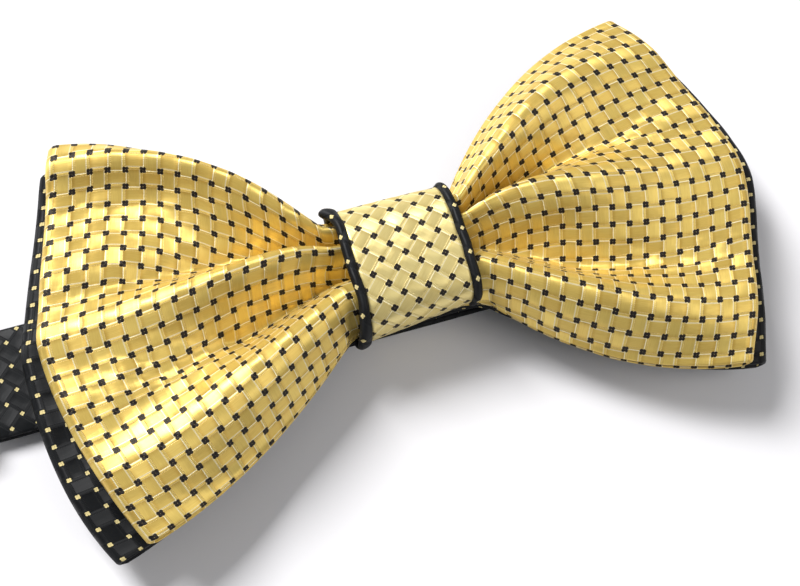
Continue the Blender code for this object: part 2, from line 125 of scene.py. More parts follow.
# ---- camera, floor and light -------------------------------------------------------------------
def add_camera():
    """The main view: from the left, in front and well above, rolled."""
    azimuth, elevation, roll = (math.radians(a) for a in (-32.3, 69.7, 15.7))
    target = Vector((-1.6, -4.4, 8.0)) * MM
    distance, lens = 214.3 * MM, 57.4
    back = Vector((math.sin(azimuth) * math.cos(elevation),
                   -math.cos(azimuth) * math.cos(elevation), math.sin(elevation)))
    right = Vector((math.cos(azimuth), math.sin(azimuth), 0.0))
    up = back.cross(right)
    turned_right = right * math.cos(roll) + up * math.sin(roll)
    turned_up = up * math.cos(roll) - right * math.sin(roll)
    data = bpy.data.cameras.new("camera")
    data.lens = lens
    data.sensor_width = 36.0
    data.clip_start = 0.005
    camera = bpy.data.objects.new("camera", data)
    bpy.context.scene.collection.objects.link(camera)
    turn = Matrix((turned_right, turned_up, back)).transposed().to_4x4()
    camera.matrix_world = Matrix.Translation(target + back * distance) @ turn
    bpy.context.scene.camera = camera


def add_light(name, place, size, power, colour=(1.0, 1.0, 1.0)):
    """A square area light aimed at the knot."""
    data = bpy.data.lights.new(name, "AREA")
    data.size = size
    data.energy = power
    data.color = colour
    light = bpy.data.objects.new(name, data)
    bpy.context.scene.collection.objects.link(light)
    light.location = place
    aim = Vector((0, 0, 0.01)) - Vector(place)
    light.rotation_euler = aim.to_track_quat("-Z", "Y").to_euler()


def add_stage():
    """White paper floor, a pale sky, a key light from the upper left and a weaker fill light."""
    mesh = bpy.data.meshes.new("floor")
    reach = 3.0
    corners = [(-reach, -reach, 0), (reach, -reach, 0), (reach, reach, 0), (-reach, reach, 0)]
    mesh.from_pydata(corners, [], [(0, 1, 2, 3)])
    floor = bpy.data.objects.new("floor", mesh)
    bpy.context.scene.collection.objects.link(floor)
    material = bpy.data.materials.new("floor_paper")
    material.use_nodes = True
    shader = material.node_tree.nodes["Principled BSDF"]
    shader.inputs["Base Color"].default_value = (0.80, 0.79, 0.81, 1)
    shader.inputs["Roughness"].default_value = 0.8
    mesh.materials.append(material)

    world = bpy.data.worlds.new("world")
    world.use_nodes = True
    world.node_tree.nodes["Background"].inputs[0].default_value = (0.93, 0.96, 1.0, 1)
    world.node_tree.nodes["Background"].inputs[1].default_value = 0.24
    bpy.context.scene.world = world
    bpy.context.scene.view_settings.view_transform = "Standard"
    add_light("key", (-0.33, 0.54, 0.62), 0.36, 12.0)
    add_light("fill", (0.55, -0.35, 0.6), 0.6, 2.6, (1.0, 0.98, 0.95))


# ---- node graphs -------------------------------------------------------------------------------
class Graph:
    """Builds a material's nodes from short arithmetic calls."""

    def __init__(self, name):
        self.material = bpy.data.materials.new(name)
        self.material.use_nodes = True
        self.tree = self.material.node_tree
        self.shader = self.tree.nodes["Principled BSDF"]

    def put(self, socket, value):
        if isinstance(value, bpy.types.NodeSocket):
            self.tree.links.new(value, socket)
        else:
            socket.default_value = value

    def math(self, operation, *values):
        node = self.tree.nodes.new("ShaderNodeMath")
        node.operation = operation
        for socket, value in zip(node.inputs, values):
            self.put(socket, value)
        return node.outputs[0]

    def add(self, a, b):
        return self.math("ADD", a, b)

    def sub(self, a, b):
        return self.math("SUBTRACT", a, b)

    def mul(self, a, b):
        return self.math("MULTIPLY", a, b)

    def least(self, a, b):
        return self.math("MINIMUM", a, b)

    def most(self, a, b):
        return self.math("MAXIMUM", a, b)

    def apart(self, a, b):
        """How far apart two numbers are."""
        return self.math("ABSOLUTE", self.sub(a, b))

    def step(self, value, low, high):
        """0 below low, 1 above high, smooth between."""
        node = self.tree.nodes.new("ShaderNodeMapRange")
        node.interpolation_type = "SMOOTHSTEP"
        for index, given in enumerate((value, low, high, 0.0, 1.0)):
            self.put(node.inputs[index], given)
        return node.outputs[0]

    def below(self, value, low, high):
        """1 below low, 0 above high, smooth between."""
        return self.sub(1.0, self.step(value, low, high))

    def mix(self, share, a, b):
        """Blend of two numbers."""
        node = self.tree.nodes.new("ShaderNodeMix")
        self.put(node.inputs["Factor"], share)
        self.put(node.inputs[2], a)
        self.put(node.inputs[3], b)
        return node.outputs[0]

    def tint(self, share, a, b):
        """Blend of two colours."""
        node = self.tree.nodes.new("ShaderNodeMix")
        node.data_type = "RGBA"
        self.put(node.inputs["Factor"], share)
        self.put(node.inputs[6], a)
        self.put(node.inputs[7], b)
        return node.outputs[2]

    def noise(self, vector, scale, detail=2.0):
        node = self.tree.nodes.new("ShaderNodeTexNoise")
        self.put(node.inputs["Vector"], vector)
        node.inputs["Scale"].default_value = scale
        node.inputs["Detail"].default_value = detail
        return node.outputs["Fac"]

    def vector(self, x, y, z=0.0):
        node = self.tree.nodes.new("ShaderNodeCombineXYZ")
        for socket, value in zip(node.inputs, (x, y, z)):
            self.put(socket, value)
        return node.outputs[0]

    def cloth_uv(self):
        """The cloth's own two lengths, in millimetres."""
        node = self.tree.nodes.new("ShaderNodeUVMap")
        node.uv_map = "cloth"
        split = self.tree.nodes.new("ShaderNodeSeparateXYZ")
        self.tree.links.new(node.outputs[0], split.inputs[0])
        return split.outputs[0], split.outputs[1]

    def bump(self, height, distance):
        node = self.tree.nodes.new("ShaderNodeBump")
        node.inputs["Strength"].default_value = 1.0
        node.inputs["Distance"].default_value = distance
        self.put(node.inputs["Height"], height)
        self.tree.links.new(node.outputs[0], self.shader.inputs["Normal"])


def colour(red, green, blue):
    return (red, green, blue, 1.0)


def weave_place(g, bias):
    """Where a point lies across and along the weave, in repeats."""
    u, v = g.cloth_uv()
    if bias:
        turned = math.sqrt(0.5) / PITCH
        return g.mul(g.sub(u, v), turned), g.mul(g.add(u, v), turned)
    return g.mul(u, 1 / PITCH), g.mul(v, 1 / PITCH)


def spot_mask(g, across, along, size):
    """A ragged four-lobed spot at each crossing of the weave."""
    near_x = g.apart(across, g.math("ROUND", across))
    near_y = g.apart(along, g.math("ROUND", along))
    lobe_x, lobe_y = g.sub(near_x, size * 0.45), g.sub(near_y, size * 0.45)
    lobe = g.math("SQRT", g.add(g.mul(lobe_x, lobe_x), g.mul(lobe_y, lobe_y)))
    ragged = g.mul(g.sub(g.noise(g.vector(across, along), 9.0), 0.5), size * 0.5)
    return g.below(g.add(lobe, ragged), size * 0.52, size * 0.68)


def lay_floats(g, lying):
    """Turn the highlight with each block, since its floats run along or across the cloth."""
    g.shader.inputs["Anisotropic"].default_value = 0.75
    g.put(g.shader.inputs["Anisotropic Rotation"], g.mul(lying, 0.25))
    tangent = g.tree.nodes.new("ShaderNodeTangent")
    tangent.direction_type = "UV_MAP"
    tangent.uv_map = "cloth"
    g.tree.links.new(tangent.outputs[0], g.shader.inputs["Tangent"])


def weave_material(name, bias, satin, shade, ladder, spot, spot_size, roughness, relief):
    """Basket weave: satin blocks lying alternately along and across the cloth.

    Each block has a beaded ladder stitch along both its long sides, and a four-lobed spot sits
    at each crossing. satin is the blocks' colour; the shade colour is painted shade, the satin as
    it looks turned from the light, and it also colours the dark lines. spot_size is in repeats.
    """
    g = Graph(name)
    across, along = weave_place(g, bias)
    column, row = g.math("FLOOR", across), g.math("FLOOR", along)
    x, y = g.sub(across, column), g.sub(along, row)
    parity = g.math("MODULO", g.math("ABSOLUTE", g.add(column, row)), 2.0)
    lying = g.math("LESS_THAN", parity, 0.5)
    # In each block, `wide` runs across its floats and `long` along them, both from 0 to 1.
    wide, long = g.mix(lying, x, y), g.mix(lying, y, x)
    from_side = g.least(wide, g.sub(1.0, wide))
    from_end = g.least(long, g.sub(1.0, long))

    # The ladder's beads sit on two rails and eleven rungs. One rail of each pair, on the side
    # toward the light, is a painted highlight in the pale ladder colour.
    on_ladder = g.below(from_side, LADDER - 0.02, LADDER + 0.02)
    rung = g.step(g.math("SINE", g.mul(long, math.tau * 11)), -0.6, 0.4)
    rails = g.apart(from_side, LADDER / 2)
    bead = g.mul(g.mul(g.step(rails, LADDER * 0.18, LADDER * 0.30), rung), on_ladder)
    lit = g.mix(lying, x, g.sub(1.0, y))
    painted_rail_highlight = g.below(g.least(g.apart(lit, 0.035), g.apart(lit, 1 - LADDER)), 0.018, 0.046)

    # Dark lines: beside each ladder, down its middle, and where a block goes under the next.
    gutter = g.below(g.apart(from_side, LADDER), 0.006, 0.024)
    seam = g.below(from_side, 0.0, 0.022)
    butt = g.below(from_end, 0.0, 0.03)
    line = g.most(gutter, g.most(seam, butt))
    spotted = spot_mask(g, across, along, spot_size)

    # A block's colour runs from its satin toward the painted shade: by its own random tone, by
    # fine streaks along its floats, by painted shade where it goes under the next block, and by
    # more painted shade on blocks lying one way, whose sheen differs.
    block_tone = g.noise(g.vector(g.add(column, 0.5), g.add(row, 0.5)), 1.7)
    streaks = g.noise(g.vector(g.mul(wide, 30.0), g.mul(long, 1.6), g.mul(block_tone, 40.0)), 1.0)
    depth = g.add(g.mul(g.below(from_end, 0.0, 0.25), 0.30), g.mul(g.sub(streaks, 0.5), 0.55))
    depth = g.add(depth, g.mul(g.sub(block_tone, 0.5), 0.8))
    depth = g.least(g.most(g.add(depth, g.add(0.18, g.mul(lying, 0.16))), 0.0), 1.0)
    face = g.tint(depth, satin, shade)
    face = g.tint(g.mul(bead, 0.35), face, ladder)
    # Painted highlight on the rail toward the light.
    face = g.tint(painted_rail_highlight, face, ladder)
    face = g.tint(g.mul(line, 0.40), face, shade)
    face = g.tint(spotted, face, spot)
    g.put(g.shader.inputs["Base Color"], face)

    # Relief: each block is a low pillow, with the beads and spots standing on it.
    pillow = g.math("SQRT", g.least(g.mul(g.most(g.sub(from_side, LADDER), 0.0), 3.6), 1.0))
    tuck = g.math("SQRT", g.least(g.mul(from_end, 4.0), 1.0))
    height = g.mul(g.mul(pillow, tuck), 0.35)
    height = g.add(height, g.mul(g.sub(streaks, 0.5), 0.10))
    height = g.add(height, g.mul(bead, 0.40))
    height = g.add(height, g.mul(spotted, 0.25))
    g.bump(height, relief * MM)

    rough = g.add(roughness, g.mul(g.most(on_ladder, spotted), 0.14))
    g.put(g.shader.inputs["Roughness"], rough)
    lay_floats(g, lying)
    return g


def gold_weave(name, bias, lit_copy):
    # The lighter pair of colours is a lit copy of the gold, painted light for the knot band; each
    # shade colour is painted shade.
    satin = colour(0.82, 0.68, 0.29) if lit_copy else colour(0.82, 0.61, 0.16)
    shade = colour(0.60, 0.44, 0.13) if lit_copy else colour(0.50, 0.28, 0.035)
    g = weave_material(name, bias, satin, shade, ladder=colour(0.98, 0.88, 0.56),
                       spot=colour(0.010, 0.007, 0.010), spot_size=0.175, roughness=0.42,
                       relief=0.15)
    g.shader.inputs["Metallic"].default_value = 0.50
    g.shader.inputs["Specular IOR Level"].default_value = 0.8
    g.shader.inputs["Specular Tint"].default_value = colour(1.0, 0.94, 0.72)
    return g.material


def black_weave(name, bias):
    g = weave_material(name, bias, satin=colour(0.008, 0.009, 0.010),
                       shade=colour(0.003, 0.003, 0.004), ladder=colour(0.012, 0.013, 0.014),
                       spot=colour(0.72, 0.60, 0.28), spot_size=0.105, roughness=0.52,
                       relief=0.14)
    g.shader.inputs["Specular IOR Level"].default_value = 0.22
    return g.material


def nickel_material():
    g = Graph("nickel")
    place = g.tree.nodes.new("ShaderNodeTexCoord").outputs["Object"]
    cloud = g.noise(place, 300.0)
    scratch = g.noise(place, 2500.0, 3.0)
    tone = g.tint(cloud, colour(0.62, 0.61, 0.58), colour(0.74, 0.73, 0.70))
    g.put(g.shader.inputs["Base Color"], tone)
    g.shader.inputs["Metallic"].default_value = 1.0
    g.put(g.shader.inputs["Roughness"], g.add(0.16, g.mul(scratch, 0.18)))
    g.bump(scratch, 0.01 * MM)
    return g.material


def thread_material():
    g = Graph("thread")
    place = g.tree.nodes.new("ShaderNodeTexCoord").outputs["Object"]
    wave = g.tree.nodes.new("ShaderNodeTexWave")
    wave.bands_direction = "DIAGONAL"
    wave.inputs["Scale"].default_value = 900.0
    g.tree.links.new(place, wave.inputs["Vector"])
    twist = wave.outputs["Fac"]
    g.put(g.shader.inputs["Base Color"], g.tint(twist, colour(0.010, 0.010, 0.012),
                                                colour(0.035, 0.035, 0.040)))
    g.shader.inputs["Roughness"].default_value = 0.6
    g.bump(twist, 0.05 * MM)
    return g.material


def interlining_material():
    g = Graph("interlining")
    place = g.tree.nodes.new("ShaderNodeTexCoord").outputs["Object"]
    fibres = g.noise(place, 900.0, 4.0)
    g.put(g.shader.inputs["Base Color"], g.tint(fibres, colour(0.66, 0.63, 0.56),
                                                colour(0.86, 0.84, 0.79)))
    g.shader.inputs["Roughness"].default_value = 0.9
    g.bump(fibres, 0.08 * MM)
    return g.material


# ---- mesh helpers ------------------------------------------------------------------------------
def smooth_curve(points, value):
    """Cubic through the points (place, height), evaluated at the values."""
    places = np.array([p[0] for p in points], float)
    heights = np.array([p[1] for p in points], float)
    slopes = np.gradient(heights, places)
    value = np.clip(value, places[0], places[-1])
    i = np.clip(np.searchsorted(places, value) - 1, 0, len(places) - 2)
    span = places[i + 1] - places[i]
    t = (value - places[i]) / span
    return (heights[i] * (1 + 2 * t) * (1 - t) ** 2 + slopes[i] * span * t * (1 - t) ** 2
            + heights[i + 1] * t * t * (3 - 2 * t) + slopes[i + 1] * span * t * t * (t - 1))


def unit(vectors):
    return vectors / np.maximum(np.linalg.norm(vectors, axis=-1, keepdims=True), 1e-9)


def add_object(name, points, faces, face_uvs, material):
    """A smooth mesh from points in millimetres, with its cloth lengths as a UV map."""
    mesh = bpy.data.meshes.new(name)
    mesh.from_pydata([tuple(MM * c for c in p) for p in points], [], faces)
    layer = mesh.uv_layers.new(name="cloth")
    flat = [value for uvs in face_uvs for uv in uvs for value in uv]
    layer.data.foreach_set("uv", flat)
    mesh.shade_smooth()
    mesh.materials.append(material)
    made = bpy.data.objects.new(name, mesh)
    bpy.context.scene.collection.objects.link(made)
    return made


def ring_mesh(name, rings, lengths, turns, material, closed=False, flip=False):
    """A tube of rings, with the cloth's length at each ring and its turn round each ring.

    Both are one value for a ring or a column, or an array of one for each point. turns has one
    value more than a ring has points, for the seam.
    """
    rows, around = rings.shape[:2]
    lengths, turns = np.asarray(lengths, float), np.asarray(turns, float)
    if lengths.ndim == 1:
        lengths = np.repeat(lengths[:, None], around, axis=1)
    if turns.ndim == 1:
        turns = np.repeat(turns[None, :], len(lengths), axis=0)
    faces, uvs = [], []
    for i in range(rows if closed else rows - 1):
        k = (i + 1) % rows
        for j in range(around):
            m = (j + 1) % around
            face = [i * around + j, i * around + m, k * around + m, k * around + j]
            uv = [(lengths[i, j], turns[i, j]), (lengths[i, m], turns[i, j + 1]),
                  (lengths[i + 1, m], turns[i + 1, j + 1]), (lengths[i + 1, j], turns[i + 1, j])]
            faces.append(face[::-1] if flip else face)
            uvs.append(uv[::-1] if flip else uv)
    if not closed:
        for row, back in ((0, True), (rows - 1, False)):
            face = [row * around + j for j in range(around)]
            uv = [(lengths[row, j], turns[row, j]) for j in range(around)]
            reverse = back != flip
            faces.append(face[::-1] if reverse else face)
            uvs.append(uv[::-1] if reverse else uv)
    return add_object(name, rings.reshape(-1, 3), faces, uvs, material)


def strip_rings(middle, thick, edge_points=EDGE_POINTS):
    """Rings round a strip whose middle surface and local thickness are given."""
    down = np.gradient(middle, axis=0)
    across = np.gradient(middle, axis=1)
    normal = unit(np.cross(across, down))
    half = thick[..., None] / 2
    upper, lower = middle + normal * half, middle - normal * half
    parts = [upper]
    for column, sign in ((-1, 1), (0, -1)):
        out = unit(across[:, column]) * sign
        edge = []
        for k in range(1, edge_points + 1):
            angle = math.pi * k / (edge_points + 1)
            angle = angle if sign > 0 else math.pi - angle
            reach = math.cos(angle) * normal[:, column] + math.sin(angle) * out
            edge.append(middle[:, column] + reach * half[:, column])
        parts.append(np.stack(edge, axis=1))
        if sign > 0:
            parts.append(lower[:, ::-1])
    return np.concatenate(parts, axis=1)


def ring_turns(values, thick, edge_points=EDGE_POINTS):
    """Cloth turned round a strip: over the top, round one edge, back under, round the other."""
    values = np.asarray(values, float)
    edge = math.pi * thick / 2
    steps = edge * np.arange(1, edge_points + 1) / (edge_points + 1)
    first, last = values[..., :1], values[..., -1:]
    under = 2 * last + edge - values[..., ::-1]
    far = 2 * last + edge - first
    return np.concatenate([values, last + steps, under, far + steps, far + edge], axis=-1)


def ring_lengths(values, edge_points=EDGE_POINTS):
    """Lengths at a strip's columns, given again for each point of the rings round it."""
    edge = np.ones(edge_points)
    return np.concatenate([values, values[:, -1:] * edge, values[:, ::-1], values[:, :1] * edge],
                          axis=1)


# ---- the bow's wings ---------------------------------------------------------------------------
SIDES = {-1: "left", 1: "right"}
FACE, BACK = 0, 1                  # the two panels of a wing's folded cloth


class Half(NamedTuple):
    """The outline of a wing's lower or upper half."""

    corner_x: float                # the wing's end at the corner
    point: float                   # how the end runs to it: 1 straight, more for a fuller curve
    half: float                    # height of the corner from the wing's middle
    flare: float                   # how soon the wing opens out from the knot


# Each wing's end at mid height, its lower half and its upper half.
OUTLINES = {
    ("front", -1): (60.3, Half(50.9, 1.6, 34.8, 1.7), Half(51.2, 1.0, 33.9, 2.6)),
    ("front", 1): (61.4, Half(50.6, 1.2, 33.2, 2.25), Half(50.4, 1.4, 33.9, 2.65)),
    ("rear", -1): (63.8, Half(56.2, 2.4, 34.9, 1.45), Half(53.8, 1.0, 31.4, 2.3)),
    ("rear", 1): (65.4, Half(55.0, 1.0, 33.0, 1.9), Half(53.0, 1.6, 33.2, 2.5)),
}
PLEATS_END_X = 60.0                # both bows' pleats are laid out from the root to here
# Middle height and pleat depth of the four panels, front to back, along that length.
PANELS = {
    "front": (
        (((WAIST_S, 12.2), (0, 12.6), (0.3, 13.2), (0.65, 13.2), (1, 13.2)),
         ((WAIST_S, 2.2), (0, 2.8), (0.15, 3.8), (0.35, 4.1), (0.6, 3.0), (0.8, 1.8), (1, 0.8))),
        (((WAIST_S, 11.0), (0, 11.4), (0.3, 11.6), (0.65, 10.9), (1, 10.2)),
         ((WAIST_S, 2.0), (0, 2.5), (0.15, 3.3), (0.35, 3.4), (0.6, 2.3), (0.8, 1.3), (1, 0.6)))),
    "rear": (
        (((WAIST_S, 9.9), (0, 10.2), (0.3, 9.8), (0.65, 8.6), (1, 7.4)),
         ((WAIST_S, 1.8), (0, 2.2), (0.15, 2.7), (0.35, 2.6), (0.6, 1.7), (0.8, 1.0), (1, 0.5))),
        (((WAIST_S, 8.8), (0, 9.0), (0.3, 8.1), (0.65, 6.3), (1, 4.9)),
         ((WAIST_S, 1.6), (0, 1.8), (0.15, 1.9), (0.35, 1.5), (0.6, 1.0), (0.8, 0.7), (1, 0.4)))),
}
CROWN = 2.0                        # rise of a wing's end, middle against corners
# Ridges (odd places) and creases between them, from the lower edge (-1) to the upper edge (1):
# beside the knot, and at each wing's end.
ROOT_LINES = (-1, -0.55, 0.0, 0.28, 0.43, 0.62, 1)
END_LINES = {
    -1: (-1, -0.66, -0.30, 0.02, 0.20, 0.90, 1),
    1: (-1, -0.72, -0.42, 0.02, 0.33, 0.74, 1),
}
EVEN_LINES = tuple((k - 3) / 3 for k in range(7))
RIDGES = EVEN_LINES[1::2]          # where the ridges lie among the even lines
TUCKS = (-0.40, 0.27)              # where spare cloth is tucked in, just below each crease
# How much of its depth each crease keeps at the wing's end, the long edges counted as creases.
CREASE_KEPT = {-1: (0.7, 0.15, 0.6, 0.3), 1: (0.7, 0.6, 0.35, 0.7)}
CREASE_SPREAD = 0.17               # how far along the end a crease's own depth reaches
TUCK = 0.45                        # half width of a tuck
LEAN = 0.30                        # how far the ridges lean up, per millimetre of height


class Wing:
    """One side of one bow. s runs from the knot (0) to the wing's end (1), v from -1 to 1 up."""

    def __init__(self, side, bow):
        self.side, self.bow = side, bow

    def pick(self, v, name, bow=None):
        """A value of the outline's lower half or upper half, by the sign of v."""
        _, low, high = OUTLINES[bow or self.bow, self.side]
        return np.where(v < 0, getattr(low, name), getattr(high, name))

    def along(self, x):
        """How far out a place is, as a share of the pleats' length."""
        return (x - ROOT_X) / (PLEATS_END_X - ROOT_X)

    def half_height(self, t, v, bow=None):
        """Half the wing's height; inside the knot it draws in to the waist."""
        opened = 1 - (1 - np.clip(t, 0, 1)) ** self.pick(v, "flare", bow)
        grown = ROOT_HALF + (self.pick(v, "half", bow) - ROOT_HALF) * opened
        return grown - (ROOT_HALF - WAIST_HALF) * np.clip(t / WAIST_S, 0, 1)

    def tip_x(self, v):
        """The wing's end. Its middle is slightly rounded, where the two halves meet."""
        end_x = OUTLINES[self.bow, self.side][0]
        rounding = 0.05
        away = np.sqrt(v * v + rounding ** 2) - rounding
        return end_x - (end_x - self.pick(v, "corner_x")) * away ** self.pick(v, "point")

    def phase(self, t, v):
        """Where a place lies among the ridges and creases, as one of the even lines."""
        spread = 1 - (1 - np.clip(t, 0, 1)) ** 2.5
        root = smooth_curve(list(zip(ROOT_LINES, EVEN_LINES)), v)
        end = smooth_curve(list(zip(END_LINES[self.side], EVEN_LINES)), v)
        return root + (end - root) * spread

    def pleat(self, t, v):
        """Height of the shared pleats: rounded ridges (1) between creased valleys (-1)."""
        turn = 1.5 * math.pi * self.phase(t, v)
        # The valleys are sharp beside the knot and open out toward the wing's end.
        open_out = 0.08 + 0.25 * np.clip(t, 0, 1) ** 2
        arch = np.hypot(np.cos(turn), open_out) - open_out
        arch = arch / (np.hypot(1, open_out) - open_out)
        wave = 0.75 * (2 * arch - 1) + 0.25 * np.cos(2 * turn)
        outer = np.clip((t - 0.35) / 0.5, 0, 1)
        kept = 1.0
        for place, keep in zip(END_LINES[self.side][::2], CREASE_KEPT[self.side]):
            near = np.exp(-((v - place) / CREASE_SPREAD) ** 2)
            kept = kept - (1 - keep) * near * outer
        return 1 - (1 - wave) * kept

    def height(self, index, x, y):
        """Height of a panel, and its pleats' share of it."""
        t = self.along(x)
        v = np.clip(y / self.half_height(t, y, "front"), -1, 1)
        centre, depth = PANELS[self.bow][index]
        crown = CROWN * np.clip(t, 0, 1.1) ** 1.5 * (1 - v * v)
        lift = smooth_curve(depth, t) * self.pleat(t, v)
        return smooth_curve(centre, t) + lift + crown, lift

    def panel(self, index, s, v, tip):
        """A panel's points; its ridges lean up, less toward its long edges and its end."""
        x = ROOT_X + (tip - ROOT_X) * s
        y = v * self.half_height(self.along(x), v)
        z, lift = self.height(index, x, y)
        calm = (1 - v ** 4) * np.clip(1.1 - s, 0, 1)
        return x + 0 * v, y + LEAN * lift * calm, z

    def middle(self):
        """Middle surface of the whole folded strip, rows from front root to rear root."""
        v = np.linspace(-1, 1, ACROSS + 1)[None, :]
        front_s = (WAIST_S + (1 - WAIST_S) * np.linspace(0, 1, PANEL_ROWS))[:, None]
        back_s = (WAIST_S + (1 - WAIST_S) * np.linspace(1, 0, BACK_ROWS))[:, None]
        edge_x = self.tip_x(v)
        edge_y = v * self.half_height(self.along(edge_x), v)
        radius = (self.height(FACE, edge_x, edge_y)[0] - self.height(BACK, edge_x, edge_y)[0]) / 2
        tip = edge_x - radius * LOOP_FLAT - END_THICK / 2
        front = self.panel(FACE, front_s, v, tip)
        back = self.panel(BACK, back_s, v, tip)
        top, low = front[2][-1], back[2][0]
        angle = (math.pi / 2 - math.pi * np.arange(1, LOOP_ROWS) / LOOP_ROWS)[:, None]
        loop = (tip + radius * LOOP_FLAT * np.cos(angle), front[1][-1] + 0 * angle,
                (top + low) / 2 + (top - low) / 2 * np.sin(angle))
        rows = [np.stack(np.broadcast_arrays(self.side * x, y, z), axis=-1)
                for x, y, z in (front, loop, back)]
        s_rows = np.concatenate([front_s[:, 0], np.ones(LOOP_ROWS - 1), back_s[:, 0]])
        return np.concatenate(rows), s_rows, v[0]

    def thickness(self, s):
        return ROOT_THICK + (END_THICK - ROOT_THICK) * np.clip(s, 0, 1)

    def stops_across(self, run, phase):
        """Some places along one row of the surface, each with its place across the flat cloth."""
        ridges = [place * CLOTH_HALF for place in END_LINES[self.side][1::2]]
        tops = np.interp(RIDGES, phase, run)
        edge = min(TUCK, tops[0] / 2)
        fits = min(1.0, (ridges[0] + CLOTH_HALF) / tops[0])
        stops = [(0.0, -CLOTH_HALF), (edge, ridges[0] - fits * (tops[0] - edge))]
        for k, tuck in enumerate(np.interp(TUCKS, phase, run)):
            start, end = tops[k], tops[k + 1]
            near, far = ridges[k], ridges[k + 1]
            fits = min(1.0, (far - near) / (end - start))
            reach = min(TUCK, (end - tuck) * 0.6, (tuck - start) * 0.6)
            stops.append((start, near))
            stops.append((tuck - reach, near + fits * (tuck - reach - start)))
            stops.append((tuck + reach, far - fits * (end - tuck - reach)))
        width = run[-1] - tops[-1]
        edge = min(TUCK, width / 2)
        fits = min(1.0, (CLOTH_HALF - ridges[-1]) / width)
        stops.append((tops[-1], ridges[-1]))
        stops.append((run[-1] - edge, ridges[-1] + fits * (width - edge)))
        stops.append((run[-1], CLOTH_HALF))
        return stops

    def cloth_across(self, middle, v):
        """Where each point lies across the flat cloth.

        The cloth lies evenly over each ridge. What is over between two ridges is tucked into
        the crease between them, and what is over beyond the outer ones goes under the edges.
        """
        run = np.zeros(middle.shape[:2])
        run[:, 1:] = np.cumsum(np.linalg.norm(np.diff(middle, axis=1), axis=2), axis=1)
        phase = self.phase(self.along(self.side * middle[..., 0]), v[None, :])
        rows = [np.interp(row, *zip(*self.stops_across(row, turn)))
                for row, turn in zip(run, phase)]
        return np.array(rows)


CREASE_RISE = 0.45                 # soft creases that run out from the knot
UNEVEN_RISE = 0.22                 # unevenness of the cloth
PUCKER_RISE = 0.75                 # puckers where the pleats' creases end
PUCKER_LINE, PUCKER_PLACE = 0.29, 0.66   # beside which line they lie, and how far out
CRUMPLE_SEEDS = {"front": 3.0, "rear": 8.0}


def crumple(wing, middle, s_rows, v):
    """Lift of the cloth at each point by its soft creases, its unevenness and its puckers."""
    seed = CRUMPLE_SEEDS[wing.bow] + wing.side
    lift = np.zeros(middle.shape[:2])
    t = wing.along(wing.side * middle[..., 0])
    phase = wing.phase(t, v[None, :])
    puckered = np.exp(-((np.abs(phase) - PUCKER_LINE) / 0.11) ** 2
                      - ((t - PUCKER_PLACE) / 0.20) ** 2)
    for i, s in enumerate(np.clip(s_rows, 0, 1)):
        calm = min(1.0, 4 * s) * (1.15 - 0.6 * s)
        for j, across in enumerate(v):
            x, y = middle[i, j, :2]
            along = noise.noise(Vector((s * 2.4, across * 7.0 + seed, seed * 1.7)))
            fine = noise.noise(Vector((x * 0.22, y * 0.30, seed * 3.1)))
            pucker = noise.noise(Vector((x * 0.30 + y * 0.25, y * 0.75, seed * 2.3)))
            lift[i, j] = calm * (CREASE_RISE * along + UNEVEN_RISE * fine)
            lift[i, j] += PUCKER_RISE * puckered[i, j] * pucker
    return lift


def add_wing(side, bow, material, lining_material):
    """A wing's folded cloth and the interlining inside it, each with its length along the wing."""
    word = SIDES[side]
    wing = Wing(side, bow)
    middle, s_rows, v = wing.middle()
    middle[..., 2] += crumple(wing, middle, s_rows, v)
    thick = np.repeat(wing.thickness(s_rows)[:, None], len(v), axis=1)
    lengths = np.zeros(middle.shape[:2])
    lengths[1:] = np.cumsum(np.linalg.norm(np.diff(middle, axis=0), axis=2), axis=0)
    lengths -= lengths[PANEL_ROWS - 1]
    across = wing.cloth_across(middle, v)
    flip = side < 0
    piece = ring_mesh(f"{bow}_bow_cloth_{word}", strip_rings(middle, thick),
                      ring_lengths(side * lengths), ring_turns(across, END_THICK),
                      material, flip=flip)
    stiff = slice(LINING_START, -LINING_START, 2)
    inside = slice(2, -2)
    inner_lengths = side * lengths[stiff, inside]
    inner_thick = thick[stiff, inside] * LINING_THICK
    inner = ring_mesh(f"{bow}_lining_{word}",
                      strip_rings(middle[stiff, inside], inner_thick, edge_points=1),
                      ring_lengths(inner_lengths, edge_points=1),
                      ring_turns(across[stiff, inside], LINING_THICK, edge_points=1),
                      lining_material, flip=flip)
    inner_length = abs(np.mean(inner_lengths[-1] - inner_lengths[0]))
    return piece, np.mean(lengths[-1] - lengths[0]), inner, inner_length


def build_bows(gold, black, lining):
    for bow, material in (("front", gold), ("rear", black)):
        for side, word in SIDES.items():
            piece, length, inner, inner_length = add_wing(side, bow, material, lining)
            replaced = [f"{bow}_bow_{word}"]
            if side < 0:
                replaced.append(f"{bow}_bow_waist")
            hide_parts(*replaced)
            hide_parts(f"{bow}_interlining_{word}")
            for cloth in (piece, inner):
                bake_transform(cloth)


